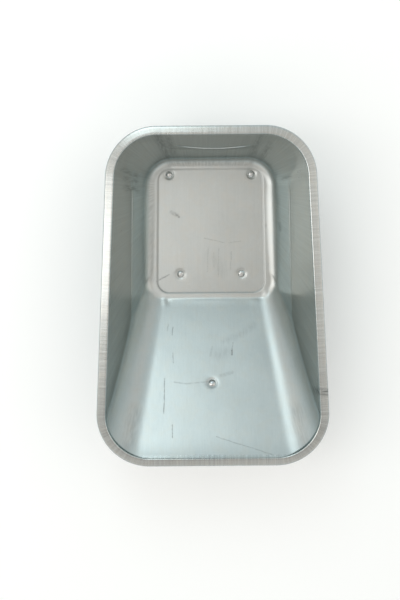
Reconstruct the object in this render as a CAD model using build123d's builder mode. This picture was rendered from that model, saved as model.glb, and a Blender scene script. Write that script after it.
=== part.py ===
"""Pressed steel wheelbarrow tray with its five carriage bolts.

Frame: X across the tray, +Y towards the handles (rear), +Z up, in millimetres.
The origin is the centre of the recessed floor panel's underside, which is the
face that sits on the barrow's frame.
"""
from build123d import *
import os
from math import atan2, cos, hypot, sin

os.makedirs("parts", exist_ok=True)

# Sheet and heights above the underside of the floor panel
sheet = 1.0                      # steel sheet thickness
panel_recess = 2.0               # the floor panel lies this much below the shoulder
shoulder_level = sheet + panel_recess
tray_depth = 250.0               # from the shoulder round the panel to the rim
rim_level = shoulder_level + tray_depth

# Steep walls under the rim: the inner edge of the rim and how the walls lean
mouth_half_width = 261.0         # at Y = 0
mouth_taper = 0.058              # the mouth widens this much per mm towards the nose
mouth_rear = 254.0
mouth_front = -603.6
mouth_rear_radius = 112.0
mouth_front_radius = 118.0
side_lean = 0.2275               # outward run per mm of height, at Y = 0
side_twist = 0.0002              # the sides lean this much more per mm towards the nose
rear_lean = 0.138
mouth_corner_lean = 0.2          # growth of the corner radii per mm of height

# Lower walls, which lean more and have rounder corners towards the rim
well_half_width = 186.5
well_taper = 0.027
well_rear = 207.6
well_side_lean = 0.434
well_rear_lean = 0.279
well_corner_radius = 75.0
well_corner_lean = 0.544

# Nose slope: a trough that widens and opens from the floor up to the front rim
nose_foot = -196.0               # where the slope leaves the shoulder level
nose_top = -615.0                # where it would reach the rim level
trough_half_width = 193.5        # at the foot, measured to the trough's sharp corner
trough_half_width_top = 285.0
trough_side_lean = 0.43
trough_radius = 86.0
trough_radius_top = 130.0

# Press radii
floor_radius = 25.0
fold_radius = 15.0               # upright fold where the well's side meets the trough
rim_bend_radius = 4.0

# Recessed floor panel
panel_half_width = 157.0
panel_taper = 0.02
panel_half_length = 182.5
panel_corner_radius = 36.0

# Rim: a flange that falls slightly outwards into a curl rolled round a wire
flange_width = 19.8
flange_fall = 2.5
wire_radius = 3.0
wire_clearance = 0.25
curl_slit_start = 15.0           # the curl stays open between these angles, measured
curl_slit_end = 85.0             # inwards from its top

# Bolt places
rear_bolt_y = 166.0
rear_bolt_spacing = 240.0
front_bolt_y = -125.0
front_bolt_spacing = 180.0
nose_bolt_y = -422.0

# Dimples that sink the bolt heads
dimple_depth = 2.0
dimple_floor_radius = 11.2
dimple_mouth_radius = 15.5
nose_dimple_mouth_radius = 16.5
dimple_bend_radius = 1.5
square_hole = 8.6

# M8 carriage bolt and what is on it
bolt_radius = 4.0
thread_radius = 3.6              # pitch radius of an M8 thread
bolt_length = 30.0               # under the head
head_radius = 10.0
head_edge = 0.8
head_height = 4.6
neck_width = 8.0
neck_length = 3.0
grip = 6.0                       # free space under the dimple for the frame's strap
washer_radius = 8.0
washer_bore = 4.2
washer_thickness = 1.6
spring_washer_radius = 7.4
spring_washer_bore = 4.05
spring_washer_thickness = 2.0
spring_washer_gap = 1.2
nut_width = 13.0                 # across flats
nut_height = 6.5
thread_chamfer = 1.0

dome_rise = head_height - head_edge
dome_radius = (head_radius**2 + dome_rise**2) / (2 * dome_rise)
washer_top = sheet + grip        # distances under the bolt head
spring_washer_top = washer_top + washer_thickness
nut_top = spring_washer_top + spring_washer_thickness
nut_corner = nut_width * (2 / 3**0.5 - 1) / 2

flange_slope = atan2(flange_fall, flange_width)
curl_radius = wire_radius + wire_clearance + sheet
curl_centre = flange_width - curl_radius * sin(flange_slope)
curl_level = rim_level - flange_fall - curl_radius * cos(flange_slope)
nose_slope = atan2(tray_depth, nose_foot - nose_top)
nose_length = hypot(tray_depth, nose_foot - nose_top)
nose_up = Vector(0, -cos(nose_slope), sin(nose_slope))
nose_normal = Vector(0, sin(nose_slope), cos(nose_slope))


def outline(level, half_width, taper, rear, front, rear_radius, front_radius):
    """Symmetrical outline with a tapering width and four rounded corners."""
    rear_half = half_width - taper * rear
    front_half = half_width - taper * front
    with BuildSketch(Plane.XY.offset(level)) as shape:
        with BuildLine():
            Polyline(
                (-rear_half, rear),
                (rear_half, rear),
                (front_half, front),
                (-front_half, front),
                close=True,
            )
        make_face()
        fillet(shape.vertices().group_by(Axis.Y)[-1], rear_radius)
        fillet(shape.vertices().group_by(Axis.Y)[0], front_radius)
    return shape.sketch


def mouth_outline(level, out):
    """The rim's inner edge, moved outwards by out."""
    return outline(
        level,
        mouth_half_width + out * hypot(1, mouth_taper),
        mouth_taper,
        mouth_rear + out,
        mouth_front - out,
        mouth_rear_radius + out,
        mouth_front_radius + out,
    )


def steep_section(level, skin):
    """Section of the steep upper walls, moved out by the skin."""
    below = rim_level - level
    return outline(
        level,
        mouth_half_width - side_lean * below + skin * hypot(1, side_lean),
        mouth_taper - side_twist * below,
        mouth_rear - rear_lean * below + skin * hypot(1, rear_lean),
        mouth_front - skin,
        mouth_rear_radius - mouth_corner_lean * below + skin,
        mouth_front_radius - mouth_corner_lean * below + skin,
    )


def well_section(level, skin):
    """Section of the leaning lower walls, which run on past the nose."""
    above = level - shoulder_level
    return outline(
        level,
        well_half_width + well_side_lean * above + skin * hypot(1, well_side_lean),
        well_taper,
        well_rear + well_rear_lean * above + skin * hypot(1, well_rear_lean),
        1.5 * mouth_front,
        well_corner_radius + well_corner_lean * above + skin,
        panel_corner_radius,
    )


def trough_section(along, skin):
    """Section square to the nose slope, at a distance up it from its foot."""
    place = Vector(0, nose_foot, shoulder_level) + nose_up * along - nose_normal * skin
    square_to_slope = Plane(origin=place, x_dir=(1, 0, 0), z_dir=nose_up)
    share = along / nose_length
    half_width = trough_half_width + (trough_half_width_top - trough_half_width) * share
    half_width += skin * (hypot(1, trough_side_lean) - trough_side_lean)
    radius = trough_radius + (trough_radius_top - trough_radius) * share + skin
    height = 3 * tray_depth
    top_half_width = half_width + trough_side_lean * height
    with BuildSketch(square_to_slope) as shape:
        with BuildLine():
            Polyline(
                (-half_width, 0),
                (half_width, 0),
                (top_half_width, height),
                (-top_half_width, height),
                close=True,
            )
        make_face()
        fillet(shape.vertices().sort_by(Axis(place, nose_normal))[:2], radius)
    return shape.sketch


def dimple_cutter(seat, mouth_radius, skin):
    """Cone that presses a dimple, from its floor up through the sheet around it."""
    section = Plane(origin=seat.origin, x_dir=seat.x_dir, z_dir=-seat.y_dir)
    widening = (mouth_radius - dimple_floor_radius) / dimple_depth
    floor_edge = dimple_floor_radius + skin * (hypot(1, widening) - widening)
    height = 2 * dimple_depth + skin
    with BuildPart() as cone:
        with BuildSketch(section):
            with BuildLine():
                Polyline(
                    (0, -skin),
                    (floor_edge, -skin),
                    (floor_edge + widening * height, height - skin),
                    (0, height - skin),
                    close=True,
                )
            make_face()
        revolve(axis=Axis(seat.origin, seat.z_dir))
        fillet(cone.edges().sort_by(Axis(seat.origin, seat.z_dir))[0], dimple_bend_radius + skin)
    return cone.part


def above_sheet(skin):
    """Everything above one face of the sheet: skin is 0 for the upper face,
    and the sheet's thickness for the lower one."""
    floor_level = shoulder_level - skin
    flange_level = rim_level - skin
    steep = [steep_section(level, skin) for level in (floor_level, flange_level)]
    well = [well_section(level, skin) for level in (floor_level, rim_level)]
    trough = [trough_section(along, skin) for along in (-1.3 * nose_length, 1.1 * nose_length)]
    flange_edge = mouth_outline(flange_level - flange_fall, flange_width)
    flange = [flange_edge, steep_section(flange_level, skin)]
    panel = outline(
        floor_level,
        panel_half_width,
        panel_taper,
        panel_half_length,
        -panel_half_length,
        panel_corner_radius,
        panel_corner_radius,
    )

    with BuildPart() as well_block:
        loft(sections=well, ruled=True)

    with BuildPart() as trough_block:
        loft(sections=trough, ruled=True)

    with BuildPart() as over_flange:
        extrude(flange_edge, amount=2 * flange_width)
        loft(sections=flange, ruled=True, mode=Mode.SUBTRACT)

    with BuildPart() as space:
        loft(sections=steep, ruled=True)
        add(well_block.part, mode=Mode.INTERSECT)
        add(trough_block.part, mode=Mode.INTERSECT)
        near_foot = space.edges().filter_by_position(Axis.Y, nose_foot - 20, nose_foot + 40)
        folds = near_foot.filter_by_position(Axis.Z, floor_level + 10, rim_level / 2)
        fillet(folds, fold_radius + skin)
        fillet(space.edges().group_by(Axis.Z)[0], floor_radius + skin)
        add(over_flange.part)
        mouth = space.edges().filter_by_position(Axis.Z, flange_level - 0.01, flange_level + 0.01)
        fillet(mouth, rim_bend_radius - skin)
        extrude(panel, amount=-panel_recess, taper=45)
        for seat, mouth_radius in dimples:
            add(dimple_cutter(seat, mouth_radius, skin))
    return space.part


panel_seat = sheet - dimple_depth
nose_seat_level = shoulder_level + (nose_foot - nose_bolt_y) * sin(nose_slope) / cos(nose_slope)
nose_seat_origin = Vector(0, nose_bolt_y, nose_seat_level) - nose_normal * dimple_depth
seats = {
    "rear_left": Plane((-rear_bolt_spacing / 2, rear_bolt_y, panel_seat)),
    "rear_right": Plane((rear_bolt_spacing / 2, rear_bolt_y, panel_seat)),
    "front_left": Plane((-front_bolt_spacing / 2, front_bolt_y, panel_seat)),
    "front_right": Plane((front_bolt_spacing / 2, front_bolt_y, panel_seat)),
    "nose": Plane(origin=nose_seat_origin, x_dir=(1, 0, 0), z_dir=nose_normal),
}
dimples = [
    (seat, nose_dimple_mouth_radius if name == "nose" else dimple_mouth_radius)
    for name, seat in seats.items()
]

# Tray shell: the space above its lower face, less the space above its upper face,
# and the curl that carries on from the flange
above_upper_face = above_sheet(0)
above_lower_face = above_sheet(sheet)
curl_path = mouth_outline(curl_level, curl_centre).wire()
curl_section = Plane(origin=curl_path @ 0, x_dir=Vector(0, 0, 1), z_dir=curl_path % 0)

with BuildPart() as curl:
    with BuildSketch(curl_section):
        Circle(curl_radius)
        Circle(curl_radius - sheet, mode=Mode.SUBTRACT)
        with BuildLine():
            slit = PolarLine((0, 0), 2 * curl_radius, curl_slit_start)
            slit_end = PolarLine((0, 0), 2 * curl_radius, curl_slit_end)
            Line(slit @ 1, slit_end @ 1)
        make_face(mode=Mode.SUBTRACT)
    sweep(path=curl_path)

with BuildPart() as tray_shell:
    add(above_lower_face)
    add(above_upper_face, mode=Mode.SUBTRACT)
    add(curl.part)
    for seat in seats.values():
        with BuildSketch(seat):
            Rectangle(square_hole, square_hole)
        extrude(amount=2 * sheet, both=True, mode=Mode.SUBTRACT)
tray_shell.part.label = "tray_shell"
export_step(tray_shell.part, "parts/tray_shell.step")

# Wire that stiffens the rim, closed inside the curl
with BuildPart() as rim_wire:
    with BuildSketch(curl_section):
        Circle(wire_radius)
    sweep(path=curl_path)
rim_wire.part.label = "rim_wire"
export_step(rim_wire.part, "parts/rim_wire.step")

for place, seat in seats.items():
    axis = Axis(seat.origin, seat.z_dir)
    lengthwise = Plane(origin=seat.origin, x_dir=seat.x_dir, z_dir=-seat.y_dir)
    facing_gap = Plane(origin=seat.origin, x_dir=seat.y_dir, z_dir=seat.x_dir)

    # Carriage bolt: domed head, square neck, plain shank and thread
    with BuildPart() as bolt:
        with BuildSketch(lengthwise):
            with BuildLine():
                Polyline((0, head_height), (0, 0), (head_radius, 0), (head_radius, head_edge))
                RadiusArc((head_radius, head_edge), (0, head_height), -dome_radius)
            make_face()
        revolve(axis=axis)
        with BuildSketch(seat):
            Rectangle(neck_width, neck_width)
        extrude(amount=-neck_length)
        with BuildSketch(seat):
            Circle(bolt_radius)
        extrude(amount=-washer_top)
        with BuildSketch(seat):
            Circle(thread_radius)
        extrude(amount=-bolt_length)
        chamfer(bolt.edges().sort_by(axis)[0], thread_chamfer)
    bolt.part.label = f"bolt_{place}"
    export_step(bolt.part, f"parts/{bolt.part.label}.step")

    # Flat washer
    with BuildPart() as washer:
        with BuildSketch(seat.offset(-washer_top)):
            Circle(washer_radius)
            Circle(washer_bore, mode=Mode.SUBTRACT)
        extrude(amount=-washer_thickness)
    washer.part.label = f"washer_{place}"
    export_step(washer.part, f"parts/{washer.part.label}.step")

    # Spring washer, split by a slanting gap
    with BuildPart() as spring_washer:
        with BuildSketch(seat.offset(-spring_washer_top)):
            Circle(spring_washer_radius)
            Circle(spring_washer_bore, mode=Mode.SUBTRACT)
        extrude(amount=-spring_washer_thickness)
        with BuildSketch(facing_gap):
            with BuildLine():
                Polyline(
                    (0, -spring_washer_top),
                    (spring_washer_gap, -spring_washer_top),
                    (2 * spring_washer_gap, -nut_top),
                    (spring_washer_gap, -nut_top),
                    close=True,
                )
            make_face()
        extrude(amount=washer_radius, mode=Mode.SUBTRACT)
    spring_washer.part.label = f"spring_washer_{place}"
    export_step(spring_washer.part, f"parts/{spring_washer.part.label}.step")

    # Hexagon nut with its corners turned off at both ends
    with BuildPart() as nut:
        with BuildSketch(seat.offset(-nut_top)):
            Circle(nut_width / 2 + nut_corner)
        extrude(amount=-nut_height)
        chamfer(nut.edges().filter_by(GeomType.CIRCLE), nut_corner)
        with BuildSketch(seat.offset(-nut_top)):
            RegularPolygon(nut_width / 2, side_count=6, major_radius=False)
            Circle(thread_radius, mode=Mode.SUBTRACT)
        extrude(amount=-nut_height, mode=Mode.INTERSECT)
    nut.part.label = f"nut_{place}"
    export_step(nut.part, f"parts/{nut.part.label}.step")
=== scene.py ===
from math import atan2, cos, hypot, pi, radians, sin

import bpy
import numpy as np
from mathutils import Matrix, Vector
from mathutils.geometry import delaunay_2d_cdt


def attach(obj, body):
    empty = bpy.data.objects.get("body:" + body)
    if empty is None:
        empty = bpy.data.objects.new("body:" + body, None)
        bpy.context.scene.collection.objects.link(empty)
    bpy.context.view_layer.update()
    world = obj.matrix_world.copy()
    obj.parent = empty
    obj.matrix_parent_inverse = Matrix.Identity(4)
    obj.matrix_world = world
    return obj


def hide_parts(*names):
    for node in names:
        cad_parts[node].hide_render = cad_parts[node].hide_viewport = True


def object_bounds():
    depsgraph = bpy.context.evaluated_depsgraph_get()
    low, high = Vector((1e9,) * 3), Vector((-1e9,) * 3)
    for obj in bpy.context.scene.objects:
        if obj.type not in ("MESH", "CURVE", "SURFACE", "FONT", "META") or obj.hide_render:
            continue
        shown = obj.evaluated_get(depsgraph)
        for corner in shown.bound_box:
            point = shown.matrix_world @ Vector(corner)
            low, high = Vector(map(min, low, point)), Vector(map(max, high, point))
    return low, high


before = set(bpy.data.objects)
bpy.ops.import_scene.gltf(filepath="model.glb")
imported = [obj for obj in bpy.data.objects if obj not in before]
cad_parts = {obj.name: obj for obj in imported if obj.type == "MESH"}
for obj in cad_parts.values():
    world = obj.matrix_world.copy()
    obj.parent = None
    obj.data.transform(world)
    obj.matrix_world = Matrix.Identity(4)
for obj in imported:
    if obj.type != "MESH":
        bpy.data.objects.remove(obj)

CAD_LOW, CAD_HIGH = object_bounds()
MM = 0.001

# ---------------------------------------------------------------- tray dimensions
# Millimetres in the frame's axes. The main sizes are the CAD model's.
SHEET = 1.0
SHOULDER_LEVEL = 3.0
TRAY_DEPTH = 250.0
RIM_LEVEL = SHOULDER_LEVEL + TRAY_DEPTH

MOUTH_HALF_WIDTH = 261.0
MOUTH_TAPER = 0.058
MOUTH_REAR = 254.0
MOUTH_FRONT = -603.6
MOUTH_REAR_RADIUS = 112.0
MOUTH_FRONT_RADIUS = 118.0
SIDE_LEAN = 0.2275
SIDE_TWIST = 0.0002
REAR_LEAN = 0.138
MOUTH_CORNER_LEAN = 0.2

WELL_HALF_WIDTH = 186.5
WELL_TAPER = 0.027
WELL_REAR = 207.6
WELL_SIDE_LEAN = 0.434
WELL_REAR_LEAN = 0.279
WELL_CORNER_RADIUS = 75.0
WELL_CORNER_LEAN = 0.544

NOSE_FOOT = -196.0
NOSE_TOP = -615.0
TROUGH_HALF_WIDTH = 193.5
TROUGH_HALF_WIDTH_TOP = 285.0
TROUGH_SIDE_LEAN = 0.43
TROUGH_RADIUS = 86.0
TROUGH_RADIUS_TOP = 130.0
UPTURN_START = 415.0             # up the slope, where the nose starts to turn up to the rim
UPTURN_LENGTH = 60.0
UPTURN_RISE = 4.6

# Bends and press lines, softer than the CAD's, whose floor radius is 25 and fold radius 15
FLOOR_RADIUS = 30.0
FLOOR_RADIUS_SIDES = 38.0
FOLD_RADIUS = 60.0               # upright fold between the well's side and the trough
CREASE_RADIUS = 90.0             # crease between the steep and the leaning walls
CREASE_REACH = 2.5               # its half width along the straight walls
CORNER_REACH = 16.0              # and in the rear corners, where it fades out
CREASE_TURN = 0.185              # how fast the two walls part there, per mm
LEDGE_HEIGHT = 1.3               # small ledge along that crease
LEDGE_WIDTH = 1.4
LEDGE_FADE = 14.0                # it fades out this far down the lower wall
REAR_RISE = 40.0                 # on the rear wall the ledge climbs this much above the crease
REAR_SAG = 29.0                  # and hangs this much lower in its middle
REAR_LEDGE = 1.2                 # and stands out this much more, as a share of its height
REAR_REACH = 115.0               # half its length there
REAR_CENTRE = 12.0
REAR_START = 190.0               # the rear wall lies behind this Y
RIM_BEND_RADIUS = 4.0

PANEL_HALF_WIDTH = 157.0
PANEL_TAPER = 0.02
PANEL_HALF_LENGTH = 182.5
PANEL_CORNER_RADIUS = 36.0
PANEL_RECESS = 2.0
STEP_WIDTH = 7.0                 # the step down to the panel, in plan
STEP_ROUNDNESS = 2.2             # it starts level and is steepest where it meets the panel

FLANGE_WIDTH = 19.8
FLANGE_FALL = 2.5
CURL_RADIUS = 4.25
CURL_END = radians(275)          # where the curl stops, from its top round the outside

DIMPLE_DEPTH = 2.0
DIMPLE_FLOOR_RADIUS = 11.2
DIMPLE_WIDENING = 2.15           # run per mm of depth
NOSE_DIMPLE_WIDENING = 2.65
DIMPLE_BEND = 1.6
SQUARE_HOLE = 8.6
REAR_BOLTS = (120.0, 166.0)
FRONT_BOLTS = (90.0, -125.0)
NOSE_BOLT_Y = -422.0

NOSE_SLOPE = atan2(TRAY_DEPTH, NOSE_FOOT - NOSE_TOP)
NOSE_LENGTH = hypot(TRAY_DEPTH, NOSE_FOOT - NOSE_TOP)
FLANGE_SLOPE = atan2(FLANGE_FALL, FLANGE_WIDTH)
CURL_OUT = FLANGE_WIDTH - CURL_RADIUS * sin(FLANGE_SLOPE)
CURL_LEVEL = RIM_LEVEL - FLANGE_FALL - CURL_RADIUS * cos(FLANGE_SLOPE)

HEAD_RADIUS = 10.0
HEAD_EDGE = 0.8
HEAD_HEIGHT = 4.6
HEAD_MARK = 0.35                 # the small hollow in the middle of the head
HEAD_MARK_RADIUS = 2.0
NECK_WIDTH = 8.0
NECK_LENGTH = 3.0
BOLT_LENGTH = 30.0
THREAD_START = 8.0
THREAD_PITCH = 1.25
THREAD_RADIUS = 3.6
THREAD_DEPTH = 0.6
BOLT_SIDES = 32
HEAD_RINGS = 15
NECK_CORNER = 0.64               # half the neck's diagonal, as a share of its width
THREAD_STEPS = 8                 # rings per turn of the thread
BOLT_SHARP_ANGLE = radians(38)
SMALL_EDGE = 0.2                 # edges under the head and at the bolt's end

# Knocks in the sheet: X, Y, half width, half length, and depth (negative is into the sheet)
DENTS = (
    (-127.0, -205.0, 6.0, 7.0, -1.0),
    (-140.0, -203.0, 6.0, 9.0, 1.0),
    (132.0, -206.0, 16.0, 6.0, 1.0),
    (162.0, -184.0, 9.0, 12.0, 1.3),
    (-176.0, -187.0, 8.0, 9.0, 1.1),
    (-212.0, -182.0, 26.0, 8.0, 0.8),
    (214.0, -176.0, 24.0, 8.0, 1.3),
    (244.0, -176.0, 8.0, 7.0, 0.7),
    (0.0, -203.0, 118.0, 4.5, 0.8),
    (166.0, 13.0, 4.5, 3.0, -0.7),
    (-60.0, 20.0, 55.0, 60.0, -0.6),
    (70.0, -40.0, 50.0, 70.0, -0.4),
    (30.0, -330.0, 45.0, 30.0, -0.4),
    (-232.0, 60.0, 8.0, 60.0, 0.5),
    (236.0, -30.0, 8.0, 50.0, 0.5),
    (40.0, 232.0, 60.0, 5.0, 0.5),
)

# Dull, darker patches: start, end, half width and strength; among them painted dark reflections and
# painted shade, marked below
DULL_AND_SHADED_PATCHES = (
    ((18.0, -352.0), (46.0, -340.0), 19.0, 0.2),
    ((34.0, -316.0), (92.0, -293.0), 10.0, 0.24),
    ((92.0, -293.0), (124.0, -270.0), 10.0, 0.24),
    ((12.0, -80.0), (32.0, -122.0), 26.0, 0.16),
    # the next four: painted dark reflections of the draw wrinkles in the rear wall's corners
    ((-137.0, 250.0), (-124.0, 221.0), 15.0, 0.6),
    ((-112.0, 247.0), (-104.0, 228.0), 13.0, 0.5),
    ((128.0, 247.0), (120.0, 222.0), 13.0, 0.5),
    ((158.0, 232.0), (150.0, 214.0), 14.0, 0.5),
    # the next three: painted shade of the raised lettering on the left wall
    ((-233.0, 168.0), (-209.0, 160.0), 9.0, 0.55),
    ((-231.0, 148.0), (-209.0, 143.0), 9.0, 0.55),
    ((-228.0, 124.0), (-211.0, 121.0), 12.0, 0.55),
    # the next one: a painted dark reflection of a draw wrinkle on the right wall
    ((220.0, 153.0), (207.0, 148.0), 7.0, 0.5),
    ((199.0, 24.0), (201.0, 2.0), 4.0, 0.6),
    ((276.0, -403.0), (286.0, -425.0), 12.0, 0.4),
    ((282.0, -425.0), (314.0, -427.0), 15.0, 1.2),
    ((-296.0, -560.0), (-262.0, -610.0), 14.0, 0.25),
    # the next two darken the fillets at the foot of the left and the rear wall
    ((-173.0, 150.0), (-176.0, -140.0), 13.0, 0.4),
    ((-120.0, 197.0), (120.0, 197.0), 10.0, 0.45),
    ((-215.0, -495.0), (-228.0, -570.0), 30.0, 0.3),
    ((232.0, -495.0), (245.0, -570.0), 30.0, 0.3),
)

# Scratches: start, end, width and strength
SCRATCHES = (
    ((-133.7, -410.0), (-134.6, -498.0), 2.0, 0.6),
    ((-111.5, -526.0), (-110.0, -556.0), 2.0, 0.6),
    ((62.0, -318.0), (58.0, -337.0), 2.2, 0.35),
    ((58.0, -334.0), (57.5, -350.0), 3.2, 0.85),
    ((9.0, -555.0), (76.0, -574.0), 1.8, 0.45),
    ((76.0, -574.0), (160.0, -597.0), 1.8, 0.4),
    ((-112.0, -275.0), (-114.0, -296.0), 2.2, 0.45),
    ((-126.0, -268.0), (-128.0, -284.0), 2.4, 0.35),
    ((-112.0, -345.0), (-110.0, -369.0), 2.2, 0.45),
    ((-72.0, -424.0), (10.0, -417.0), 2.6, 0.3),
    ((-108.0, -420.0), (-72.0, -424.0), 2.0, 0.3),
    ((-114.0, 57.0), (-99.0, 49.0), 9.0, 0.3),
    ((-102.0, 51.0), (-93.0, 43.5), 5.0, 0.55),
    ((-161.0, -146.0), (-124.0, -126.0), 3.0, 0.55),
    ((-19.0, -19.0), (40.0, -33.0), 2.0, 0.35),
    ((52.0, -34.0), (88.0, -28.0), 2.0, 0.3),
    ((-8.0, -46.0), (-10.0, -118.0), 2.2, 0.28),
    ((8.0, -62.0), (10.0, -104.0), 2.0, 0.28),
    ((24.0, -50.0), (22.0, -132.0), 2.2, 0.3),
    ((61.0, -60.0), (58.0, -112.0), 2.2, 0.28),
    ((24.0, -404.0), (56.0, -396.0), 7.0, 0.22),
    ((-4.0, -352.0), (1.0, -330.0), 4.0, 0.2),
)

# Mesh divisions of half the outline: rear edge, rear corner, side, front corner, front edge
DIVISIONS = (24, 34, 92, 36, 30)
WALL_ROWS = 66
BEND_ROWS = 6
FLANGE_ROWS = 3
CURL_ROWS = 17
DIMPLE_SIDES = 44
HOLE_DIVISIONS = 3               # along each side of a square hole
BOLT_CLEARANCE = 20.0            # round a bolt's axis only its dimple's own rings are used
SHARP_ANGLE = radians(50)


# ---------------------------------------------------------------- tray surface
def fade(value, start, end):
    """0 at start, 1 at end, straight between them."""
    return np.clip((value - start) / (end - start), 0, 1)


def eased(value, start, end):
    """Like fade, but level at both ends."""
    share = fade(value, start, end)
    return share**2 * (3 - 2 * share)


def outline_distance(ax, y, half_width, taper, rear, front, rear_radius, front_radius):
    """Signed distance from a tapering outline with rounded corners; ax is |x|."""
    slant = hypot(1, taper) if np.isscalar(taper) else np.hypot(1, taper)
    side = (ax - half_width + taper * y) / slant
    distance = np.maximum(side, np.maximum(y - rear, front - y))
    for end, toward, radius in ((rear, 1, rear_radius), (front, -1, front_radius)):
        centre_y = end - toward * radius
        past_x = ax - (half_width - taper * centre_y - radius * slant)
        past_y = y - centre_y
        in_corner = (past_x > 0) & (toward * (past_y - taper * past_x) > 0)
        distance = np.where(in_corner, np.hypot(past_x, past_y) - radius, distance)
    return distance


def steep_walls(x, y, z):
    below = RIM_LEVEL - z
    return outline_distance(
        np.abs(x), y,
        MOUTH_HALF_WIDTH - SIDE_LEAN * below,
        MOUTH_TAPER - SIDE_TWIST * below,
        MOUTH_REAR - REAR_LEAN * below,
        MOUTH_FRONT,
        MOUTH_REAR_RADIUS - MOUTH_CORNER_LEAN * below,
        MOUTH_FRONT_RADIUS - MOUTH_CORNER_LEAN * below,
    )


def leaning_walls(x, y, z):
    above = z - SHOULDER_LEVEL
    return outline_distance(
        np.abs(x), y,
        WELL_HALF_WIDTH + WELL_SIDE_LEAN * above,
        WELL_TAPER,
        WELL_REAR + WELL_REAR_LEAN * above,
        1.5 * MOUTH_FRONT,
        WELL_CORNER_RADIUS + WELL_CORNER_LEAN * above,
        PANEL_CORNER_RADIUS,
    )


def trough(x, y, z):
    """Nose slope and its sides, measured square to the slope."""
    forward = NOSE_FOOT - y
    up = z - SHOULDER_LEVEL
    along = forward * cos(NOSE_SLOPE) + up * sin(NOSE_SLOPE)
    above = up * cos(NOSE_SLOPE) - forward * sin(NOSE_SLOPE)
    above = above - UPTURN_RISE * np.clip((along - UPTURN_START) / UPTURN_LENGTH, 0, 1.3) ** 2
    share = along / NOSE_LENGTH
    half_width = TROUGH_HALF_WIDTH + (TROUGH_HALF_WIDTH_TOP - TROUGH_HALF_WIDTH) * share
    radius = TROUGH_RADIUS + (TROUGH_RADIUS_TOP - TROUGH_RADIUS) * share
    slant = hypot(1, TROUGH_SIDE_LEAN)
    side = (np.abs(x) - half_width - TROUGH_SIDE_LEAN * above) / slant
    past_x = np.abs(x) - (half_width + TROUGH_SIDE_LEAN * radius - radius * slant)
    below = radius - above
    in_corner = (past_x > 0) & (below > TROUGH_SIDE_LEAN * past_x)
    return np.where(in_corner, np.hypot(past_x, below) - radius, np.maximum(side, -above))


def directed(field, x, y, z):
    """The field as a distance, and the unit direction in which it grows."""
    step = 0.5
    value = field(x, y, z)
    slope = np.stack([
        field(x + step, y, z) - value,
        field(x, y + step, z) - value,
        field(x, y, z + step) - value,
    ]) / step
    size = np.sqrt((slope**2).sum(axis=0)) + 1e-9
    return value / size, slope / size


def rolled(first, second, radius, reach=1000.0):
    """Where two walls meet, a round corner joins them; reach limits how far it starts from there."""
    (a, along_a), (b, along_b) = first, second
    crossing = np.clip((along_a * along_b).sum(axis=0), -0.9, 0.9998)
    radius = np.minimum(radius, reach * np.sqrt((1 + crossing) / (1 - crossing)))
    inner_a = a + radius
    inner_b = b + radius
    spread = 1 - crossing**2
    share_a = (inner_a - inner_b * crossing) / spread
    share_b = (inner_b - inner_a * crossing) / spread
    in_corner = (share_a > 0) & (share_b > 0)
    mixed = share_a * along_a + share_b * along_b
    length = np.sqrt((mixed**2).sum(axis=0)) + 1e-9
    distance = np.where(in_corner, length - radius, np.maximum(a, b))
    plain = np.where(a > b, along_a, along_b)
    return distance, np.where(in_corner, mixed / length, plain)


def tray_distance(x, y, z):
    """Negative in the space above the sheet."""
    lower = rolled(directed(leaning_walls, x, y, z), directed(trough, x, y, z), FOLD_RADIUS)
    corner = fade(np.abs(x), 120, 180) * fade(y, 90, 150)
    reach = CREASE_REACH + (CORNER_REACH - CREASE_REACH) * corner
    reach = np.minimum(reach, 0.3 * np.clip(RIM_LEVEL - z, 1, None))
    walls = rolled(lower, directed(steep_walls, x, y, z), CREASE_RADIUS, reach)
    down = np.stack([np.zeros_like(z), np.zeros_like(z), -np.ones_like(z)])
    at_sides = fade(y, 160, 90) * eased(y, -165, 25)
    radius = FLOOR_RADIUS + (FLOOR_RADIUS_SIDES - FLOOR_RADIUS) * at_sides
    return rolled(walls, (SHOULDER_LEVEL - z, down), radius)[0]


def wall_height(x, y):
    """Height of the sheet's upper face, without the panel and the dimples."""
    low = np.full_like(x, SHOULDER_LEVEL - 1)
    high = np.full_like(x, RIM_LEVEL + 1)
    halvings = 22
    for _ in range(halvings):
        middle = (low + high) / 2
        in_space = tray_distance(x, y, middle) < 0
        high = np.where(in_space, middle, high)
        low = np.where(in_space, low, middle)
    return (low + high) / 2


def past_crease(x, y, z):
    """How far a point of the walls lies below the crease between them, and where that line shows."""
    lower = rolled(directed(leaning_walls, x, y, z), directed(trough, x, y, z), FOLD_RADIUS)[0]
    below = (lower - directed(steep_walls, x, y, z)[0]) / CREASE_TURN
    corner = fade(np.abs(x), 130, 180) * fade(y, 110, 160)
    at_rear = y > REAR_START
    along = np.abs(x - REAR_CENTRE)
    below = below + (REAR_RISE - REAR_SAG * np.clip(1 - (along / REAR_REACH) ** 2, 0, 1)) * at_rear
    corner = np.maximum(corner, fade(along, REAR_REACH - 30, REAR_REACH) * at_rear)
    on_wall = fade(z, 60, 90) * fade(z, RIM_LEVEL - 14, RIM_LEVEL - 24)
    at_nose = fade(y, NOSE_FOOT + 20, NOSE_FOOT - 30)
    weaker = 0.7
    return below, (1 - corner) * (1 - weaker * at_nose) * on_wall


def crease_ledge(x, y, z):
    """The small ledge that the second press stroke left along the crease."""
    below, shown = past_crease(x, y, z)
    start = np.clip(below / LEDGE_WIDTH + 0.5, 0, 1)
    down_wall = np.exp(-np.clip(below, 0, None) / LEDGE_FADE)
    return LEDGE_HEIGHT * (1 + REAR_LEDGE * (y > REAR_START)) * start * down_wall * shown


def smooth_max(a, b, blend):
    gap = np.clip(blend - np.abs(a - b), 0, None) / blend
    return np.maximum(a, b) + gap**2 * blend / 4


def dimple_height(radius, widening):
    """Height of a dimple's face over its own floor."""
    return smooth_max((radius - DIMPLE_FLOOR_RADIUS) / widening, 0.0 * radius, DIMPLE_BEND)


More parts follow.
